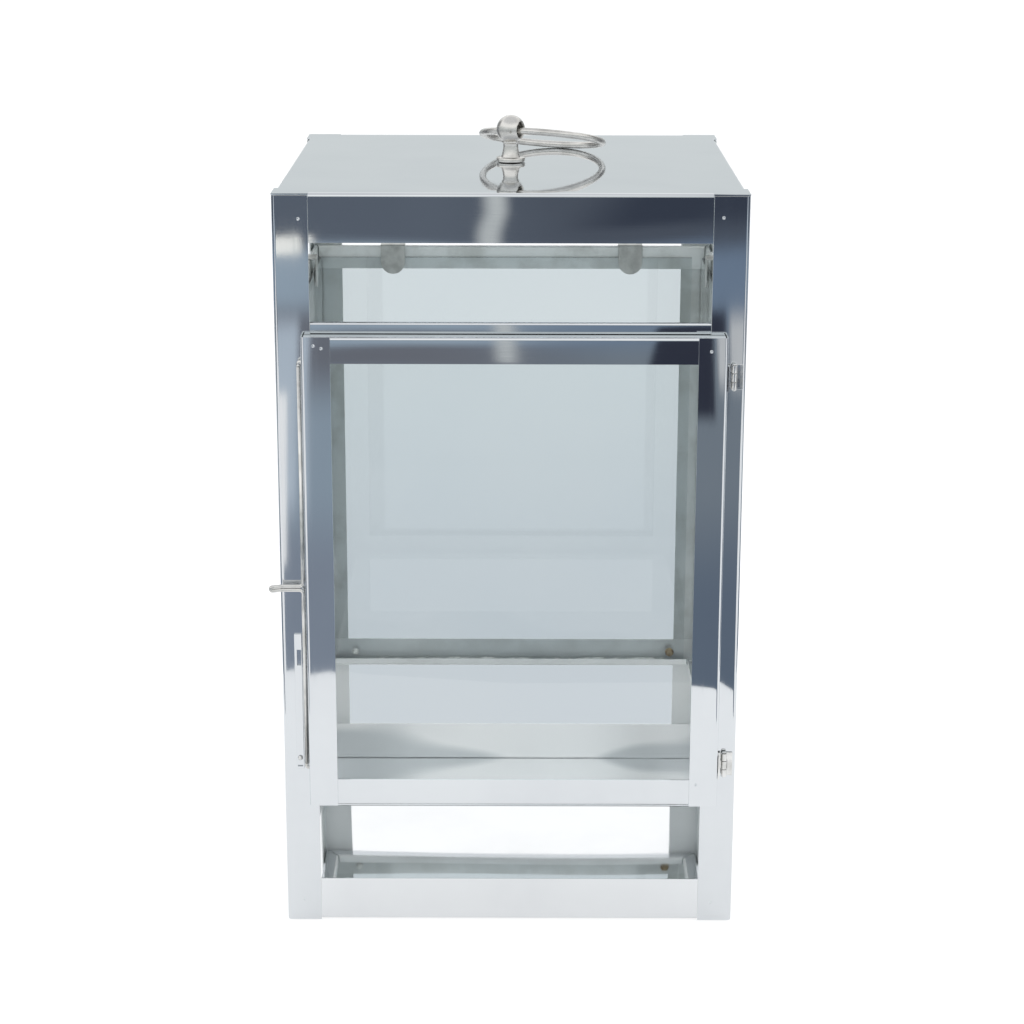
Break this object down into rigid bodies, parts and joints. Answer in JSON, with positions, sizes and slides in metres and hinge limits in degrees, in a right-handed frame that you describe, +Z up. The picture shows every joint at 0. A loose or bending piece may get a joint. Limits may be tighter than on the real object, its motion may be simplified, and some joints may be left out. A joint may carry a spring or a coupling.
{
  "type": "candle lantern",
  "caption": "Square polished steel candle lantern with glass panes, a hinged glass door with a spring-wire latch, vents above and below the glass, and a finial with a ring handle.",
  "frame": {"origin": "middle of the square footprint, on the ground that the lantern stands on", "axes": "+Z up; the door and its latch face -Y; the door hinges are at +X"},
  "size_m": [0.2556, 0.2585, 0.4386],
  "materials": {
    "polished_sheet": "mirror-polished stainless steel sheet with fine polishing lines",
    "turned_steel": "turned and drawn bright steel, lightly satin",
    "matte_steel": "dull unpolished steel",
    "clear_glass": "clear float glass, faintly grey-green"
  },
  "bodies": {
    "lantern_body": {"crossbar_front": "polished_sheet", "crossbar_left": "polished_sheet", "crossbar_rear": "polished_sheet", "crossbar_right": "polished_sheet", "finial_knob": "turned_steel", "finial_nut": "matte_steel", "finial_washer": "matte_steel", "floor_tray": "polished_sheet", "glass_rail_front": "polished_sheet", "glass_rail_left": "polished_sheet", "glass_rail_rear": "polished_sheet", "glass_rail_right": "polished_sheet", "hinge_lower_frame_leaf": "turned_steel", "hinge_lower_pin": "turned_steel", "hinge_upper_frame_leaf": "turned_steel", "hinge_upper_pin": "turned_steel", "pane_clip_left_1": "matte_steel", "pane_clip_left_2": "matte_steel", "pane_clip_rear_1": "matte_steel", "pane_clip_rear_2": "matte_steel", "pane_clip_right_1": "matte_steel", "pane_clip_right_2": "matte_steel", "pane_left": "clear_glass", "pane_rear": "clear_glass", "pane_right": "clear_glass", "post_front_left": "polished_sheet", "post_front_right": "polished_sheet", "post_rear_left": "polished_sheet", "post_rear_right": "polished_sheet", "roof_pan": "polished_sheet", "striker_plate": "polished_sheet", "striker_rivet": "turned_steel"},
    "door": {"door_glass": "clear_glass", "door_rail_bottom": "polished_sheet", "door_rail_top": "polished_sheet", "door_stile_left": "polished_sheet", "door_stile_right": "polished_sheet", "door_tab_lower_left": "matte_steel", "door_tab_lower_right": "matte_steel", "door_tab_upper_left": "matte_steel", "door_tab_upper_right": "matte_steel", "hinge_lower_door_leaf": "turned_steel", "hinge_upper_door_leaf": "turned_steel", "latch_anchor_lower": "turned_steel", "latch_anchor_upper": "turned_steel"},
    "latch": {"latch_wire": "turned_steel"},
    "ring": {"ring_handle": "turned_steel"}
  },
  "joints": [
    {"name": "door_hinge", "type": "hinge", "parent": "lantern_body", "child": "door", "pos_m": [0.1185, -0.1274, 0.2], "axis": [0, 0, 1], "range_deg": [0, 120]},
    {"name": "latch_turn", "type": "hinge", "parent": "door", "child": "latch", "pos_m": [-0.1122, -0.129, 0.1973], "axis": [0, 0, 1], "range_deg": [0, 90], "stiffness_Nm_per_rad": 0.02},
    {"name": "ring_swing", "type": "hinge", "parent": "lantern_body", "child": "ring", "pos_m": [0, 0, 0.4295], "axis": [0.829, -0.5592, 0], "range_deg": [0, 206]}
  ]
}
